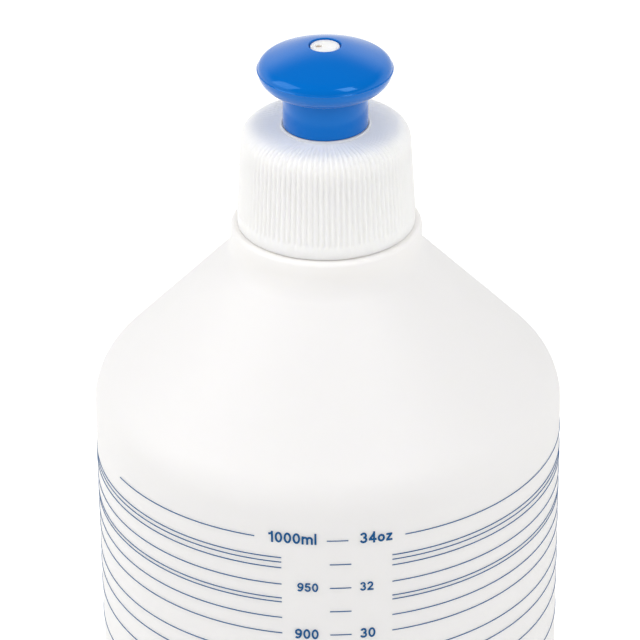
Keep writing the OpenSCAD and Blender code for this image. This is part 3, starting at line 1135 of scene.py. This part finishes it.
class DILUTION_OT_stage(bpy.types.Operator):
    """Sets the floor, the soft light and the camera"""

    bl_idname = "dilution.stage"
    bl_label = "Stage"

    EYE = Vector((-1.282, -610.47, 552.87)) * MM
    RIGHT = Vector((0.99996, -0.00444, -0.00807))
    UP = Vector((0.00922, 0.48214, 0.87604))
    LENS = 218.75
    FLOOR = 12.0
    FLOOR_GLOW = 0.38
    AIM = Vector((0, 0, 0.2))
    DIM_SIDE = (0.0, -0.35, 0.94)

    def execute(self, context):
        scene, colours = context.scene, context.scene.bottle_colours
        half = self.FLOOR / 2
        corners = [(-half, -half, 0), (half, -half, 0), (half, half, 0), (-half, half, 0)]
        mesh = new_mesh("floor", (corners, [[0, 1, 2, 3]]))
        floor = bpy.data.objects.new("floor", mesh)
        scene.collection.objects.link(floor)
        mesh.materials.append(self.floor_material(colours))
        self.world(scene, colours)
        for name, place, size, watts in (
            ("key", Vector((-1.16, -0.17, 1.08)), (0.9, 1.1), colours.key_w),
            ("fill", Vector((0.72, -0.7, 1.25)), (0.5, 0.9), colours.fill_w),
        ):
            data = bpy.data.lights.new(name, "AREA")
            data.shape = "RECTANGLE"
            data.size, data.size_y = size
            data.energy = watts
            lamp = bpy.data.objects.new(name, data)
            lamp.location = place
            lamp.rotation_euler = (self.AIM - place).to_track_quat("-Z", "Y").to_euler()
            scene.collection.objects.link(lamp)
        data = bpy.data.cameras.new("camera")
        data.lens = self.LENS
        data.clip_start, data.clip_end = 0.01, 50
        camera = bpy.data.objects.new("camera", data)
        right = self.RIGHT.normalized()
        back = right.cross(self.UP).normalized()
        up = back.cross(right)
        turn = Matrix((right, up, back)).transposed().to_4x4()
        camera.matrix_world = Matrix.Translation(self.EYE) @ turn
        scene.collection.objects.link(camera)
        scene.camera = camera
        scene.view_settings.view_transform = "Standard"
        return {"FINISHED"}

    def seen(self, tree):
        """1 for rays from the camera, a mirror or a glass, and 0 for light that falls on a surface."""
        path = add(tree, "ShaderNodeLightPath").outputs
        either = maths(tree, "MAXIMUM", path["Is Camera Ray"], path["Is Glossy Ray"])
        return maths(tree, "MAXIMUM", either, path["Is Transmission Ray"])

    def floor_material(self, colours):
        material = bpy.data.materials.new("Floor")
        material.use_nodes = True
        tree = material.node_tree
        tree.nodes.clear()
        lit = add(tree, "ShaderNodeBsdfDiffuse", {"Color": tuple(colours.floor)})
        strength = maths(tree, "MULTIPLY", self.seen(tree), self.FLOOR_GLOW)
        glow = add(tree, "ShaderNodeEmission", {"Color": (1, 1, 1, 1), "Strength": strength})
        both = add(tree, "ShaderNodeAddShader", {0: lit.outputs[0], 1: glow.outputs[0]})
        add(tree, "ShaderNodeOutputMaterial", {"Surface": both.outputs[0]})
        return material

    def world(self, scene, colours):
        """White behind and beside the bottle. Gloss also shows the dim room above and in front of it."""
        world = bpy.data.worlds.new("Studio")
        world.use_nodes = True
        tree = world.node_tree
        tree.nodes.clear()
        place = add(tree, "ShaderNodeTexCoord").outputs["Generated"]
        facing = add(tree, "ShaderNodeVectorMath", {0: place, 1: self.DIM_SIDE}, operation="DOT_PRODUCT")
        room = add(
            tree,
            "ShaderNodeMapRange",
            {
                "Value": facing.outputs["Value"],
                "From Min": 0.1,
                "From Max": 0.45,
                "To Min": 1.0,
                "To Max": 0.05,
            },
            interpolation_type="SMOOTHSTEP",
        )
        path = add(tree, "ShaderNodeLightPath").outputs
        gloss = add(
            tree,
            "ShaderNodeMix",
            {"Factor": path["Is Glossy Ray"], "A": colours.ambient, "B": room.outputs["Result"]},
            data_type="FLOAT",
        )
        clear = maths(tree, "MAXIMUM", path["Is Camera Ray"], path["Is Transmission Ray"])
        level = add(
            tree,
            "ShaderNodeMix",
            {"Factor": clear, "A": gloss.outputs["Result"], "B": 1.0},
            data_type="FLOAT",
        )
        strength = level.outputs["Result"]
        light = add(tree, "ShaderNodeBackground", {"Color": (1, 1, 1, 1), "Strength": strength})
        add(tree, "ShaderNodeOutputWorld", {"Surface": light.outputs[0]})
        scene.world = world


class DILUTION_PT_panel(bpy.types.Panel):
    bl_idname = "DILUTION_PT_panel"
    bl_label = "Dilution bottle"
    bl_space_type = "VIEW_3D"
    bl_region_type = "UI"
    bl_category = "Bottle"

    def draw(self, context):
        for step in STEPS:
            self.layout.operator(step.bl_idname)
        for name in GROUPS:
            group = getattr(context.scene, name)
            column = self.layout.column(align=True)
            for label in group.bl_rna.properties.keys():
                if label not in ("rna_type", "name"):
                    column.prop(group, label)


STEPS = (
    DILUTION_OT_bottle,
    DILUTION_OT_washer,
    DILUTION_OT_closure,
    DILUTION_OT_spout,
    DILUTION_OT_scale,
    DILUTION_OT_stage,
)
GROUPS = {
    "bottle_sizes": BottleSizes,
    "bottle_closure": ClosureSizes,
    "bottle_spout": SpoutSizes,
    "bottle_scale": ScaleSizes,
    "bottle_colours": Colours,
}


def register():
    for name, group in GROUPS.items():
        bpy.utils.register_class(group)
        setattr(bpy.types.Scene, name, bpy.props.PointerProperty(type=group))
    for step in STEPS:
        bpy.utils.register_class(step)
    bpy.utils.register_class(DILUTION_PT_panel)


def unregister():
    bpy.utils.unregister_class(DILUTION_PT_panel)
    for step in reversed(STEPS):
        bpy.utils.unregister_class(step)
    for name, group in reversed(GROUPS.items()):
        delattr(bpy.types.Scene, name)
        bpy.utils.unregister_class(group)


def main():
    register()
    bpy.ops.dilution.bottle()
    bpy.ops.dilution.washer()
    bpy.ops.dilution.closure()
    bpy.ops.dilution.spout()
    bpy.ops.dilution.scale()
    bpy.ops.dilution.stage()


if __name__ == "__main__":
    main()
